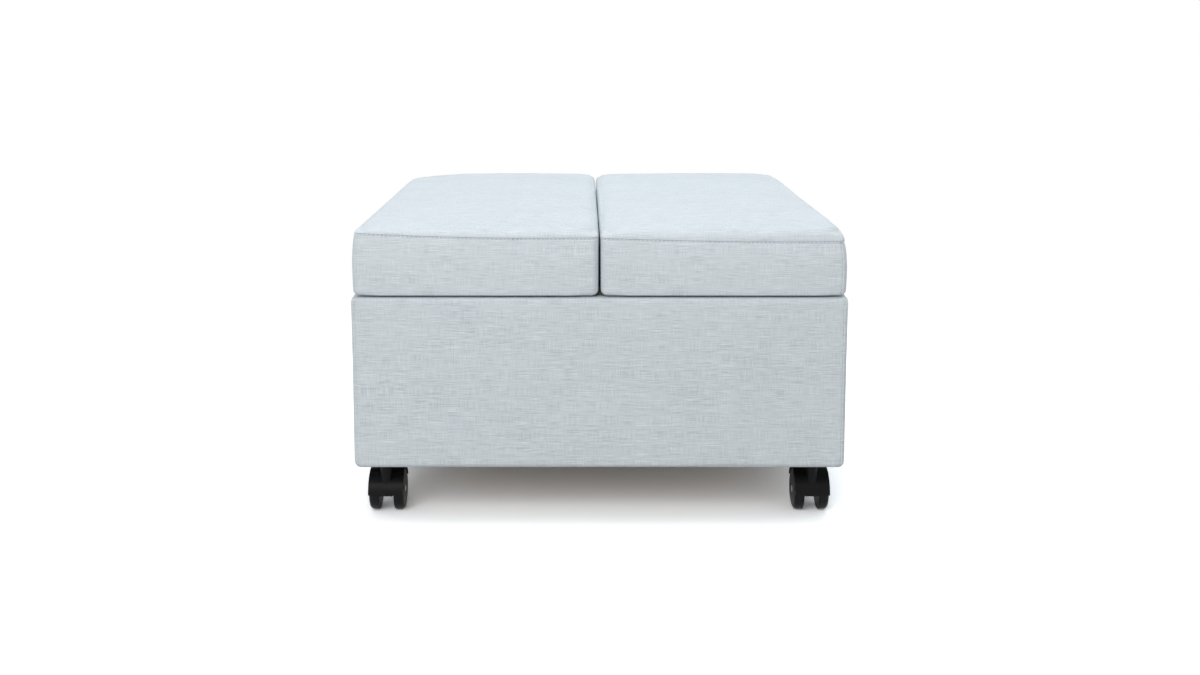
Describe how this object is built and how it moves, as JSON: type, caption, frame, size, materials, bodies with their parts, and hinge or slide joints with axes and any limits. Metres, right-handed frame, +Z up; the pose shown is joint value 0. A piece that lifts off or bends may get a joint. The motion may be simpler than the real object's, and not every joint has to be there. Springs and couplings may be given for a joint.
{
  "type": "fold out ottoman bed",
  "caption": "Square upholstered ottoman on twin-wheel casters; its ends roll out and its split top flips outwards to make a single guest bed.",
  "frame": {"origin": "on the floor, under the middle of the ottoman", "axes": "+X to the right, towards one pull-out end; +Y to the back; +Z up"},
  "size_m": [0.91, 0.9, 0.541],
  "materials": {
    "linen_cushion": "slub linen weave, pale blue grey",
    "linen_box": "slub linen weave, pale blue grey",
    "mattress_ticking": "knitted ticking over foam",
    "sleep_pad_ticking": "knitted ticking over foam",
    "timber": "planed softwood and plywood",
    "hardboard": "brown hardboard",
    "black_steel": "black powder coat",
    "zinc_steel": "bright zinc plate",
    "nylon": "natural nylon",
    "caster_hood": "black moulded nylon",
    "caster_wheel": "black moulded nylon"
  },
  "bodies": {
    "base": {"front_board": "timber", "back_board": "timber", "front_cover": "linen_box", "back_cover": "linen_box", "center_mattress": "mattress_ticking", "mattress_slats": "timber", "slat_ledgers": "timber", "corner_blocks": "timber", "cross_stretchers": "timber", "dust_panel": "hardboard", "rail_guides": "nylon", "left_top_rail": "timber", "left_top_rail_cover": "linen_box", "left_hinge_base_straps": "black_steel", "left_hinge_base_screws": "black_steel", "left_hinge_pins": "zinc_steel", "right_top_rail": "timber", "right_top_rail_cover": "linen_box", "right_hinge_base_straps": "black_steel", "right_hinge_base_screws": "black_steel", "right_hinge_pins": "zinc_steel"},
    "left_wing": {"left_cushion": "linen_cushion", "left_cushion_board": "timber", "left_sleep_pad": "sleep_pad_ticking", "left_hinge_wing_straps": "black_steel", "left_hinge_wing_screws": "black_steel"},
    "left_carriage": {"left_end_board": "timber", "left_end_cover": "linen_box", "left_slide_rails": "black_steel", "left_caster_blocks": "timber", "left_caster_plates": "zinc_steel", "left_caster_screws": "zinc_steel"},
    "right_wing": {"right_cushion": "linen_cushion", "right_cushion_board": "timber", "right_sleep_pad": "sleep_pad_ticking", "right_hinge_wing_straps": "black_steel", "right_hinge_wing_screws": "black_steel"},
    "right_carriage": {"right_end_board": "timber", "right_end_cover": "linen_box", "right_slide_rails": "black_steel", "right_caster_blocks": "timber", "right_caster_plates": "zinc_steel", "right_caster_screws": "zinc_steel"},
    "front_left_caster": {"front_left_caster_fork": "caster_hood", "front_left_caster_axle": "zinc_steel"},
    "front_left_caster_wheel_a": {"front_left_caster_wheel_a": "caster_wheel"},
    "front_left_caster_wheel_b": {"front_left_caster_wheel_b": "caster_wheel"},
    "front_right_caster": {"front_right_caster_fork": "caster_hood", "front_right_caster_axle": "zinc_steel"},
    "front_right_caster_wheel_a": {"front_right_caster_wheel_a": "caster_wheel"},
    "front_right_caster_wheel_b": {"front_right_caster_wheel_b": "caster_wheel"},
    "back_left_caster": {"back_left_caster_fork": "caster_hood", "back_left_caster_axle": "zinc_steel"},
    "back_left_caster_wheel_a": {"back_left_caster_wheel_a": "caster_wheel"},
    "back_left_caster_wheel_b": {"back_left_caster_wheel_b": "caster_wheel"},
    "back_right_caster": {"back_right_caster_fork": "caster_hood", "back_right_caster_axle": "zinc_steel"},
    "back_right_caster_wheel_a": {"back_right_caster_wheel_a": "caster_wheel"},
    "back_right_caster_wheel_b": {"back_right_caster_wheel_b": "caster_wheel"}
  },
  "joints": [
    {"name": "left_cushion_flip", "type": "hinge", "parent": "base", "child": "left_wing", "pos_m": [-0.4515, 0, 0.4255], "axis": [0, -1, 0], "range_deg": [0, 180]},
    {"name": "left_end_pull_out", "type": "slide", "parent": "base", "child": "left_carriage", "axis": [-1, 0, 0], "range_m": [0, 0.4]},
    {"name": "right_cushion_flip", "type": "hinge", "parent": "base", "child": "right_wing", "pos_m": [0.4515, 0, 0.4255], "axis": [0, 1, 0], "range_deg": [0, 180]},
    {"name": "right_end_pull_out", "type": "slide", "parent": "base", "child": "right_carriage", "axis": [1, 0, 0], "range_m": [0, 0.4]},
    {"name": "front_left_caster_swivel", "type": "hinge", "parent": "left_carriage", "child": "front_left_caster", "pos_m": [-0.4, -0.392, 0.095], "axis": [0, 0, 1], "continuous": true},
    {"name": "front_left_wheel_a_roll", "type": "hinge", "parent": "front_left_caster", "child": "front_left_caster_wheel_a", "pos_m": [-0.4, -0.367, 0.0375], "axis": [1, 0, 0], "continuous": true},
    {"name": "front_left_wheel_b_roll", "type": "hinge", "parent": "front_left_caster", "child": "front_left_caster_wheel_b", "pos_m": [-0.4, -0.367, 0.0375], "axis": [1, 0, 0], "continuous": true},
    {"name": "front_right_caster_swivel", "type": "hinge", "parent": "right_carriage", "child": "front_right_caster", "pos_m": [0.4, -0.392, 0.095], "axis": [0, 0, 1], "continuous": true},
    {"name": "front_right_wheel_a_roll", "type": "hinge", "parent": "front_right_caster", "child": "front_right_caster_wheel_a", "pos_m": [0.4, -0.367, 0.0375], "axis": [1, 0, 0], "continuous": true},
    {"name": "front_right_wheel_b_roll", "type": "hinge", "parent": "front_right_caster", "child": "front_right_caster_wheel_b", "pos_m": [0.4, -0.367, 0.0375], "axis": [1, 0, 0], "continuous": true},
    {"name": "back_left_caster_swivel", "type": "hinge", "parent": "left_carriage", "child": "back_left_caster", "pos_m": [-0.4, 0.392, 0.095], "axis": [0, 0, 1], "continuous": true},
    {"name": "back_left_wheel_a_roll", "type": "hinge", "parent": "back_left_caster", "child": "back_left_caster_wheel_a", "pos_m": [-0.4, 0.367, 0.0375], "axis": [1, 0, 0], "continuous": true},
    {"name": "back_left_wheel_b_roll", "type": "hinge", "parent": "back_left_caster", "child": "back_left_caster_wheel_b", "pos_m": [-0.4, 0.367, 0.0375], "axis": [1, 0, 0], "continuous": true},
    {"name": "back_right_caster_swivel", "type": "hinge", "parent": "right_carriage", "child": "back_right_caster", "pos_m": [0.4, 0.392, 0.095], "axis": [0, 0, 1], "continuous": true},
    {"name": "back_right_wheel_a_roll", "type": "hinge", "parent": "back_right_caster", "child": "back_right_caster_wheel_a", "pos_m": [0.4, 0.367, 0.0375], "axis": [1, 0, 0], "continuous": true},
    {"name": "back_right_wheel_b_roll", "type": "hinge", "parent": "back_right_caster", "child": "back_right_caster_wheel_b", "pos_m": [0.4, 0.367, 0.0375], "axis": [1, 0, 0], "continuous": true}
  ]
}
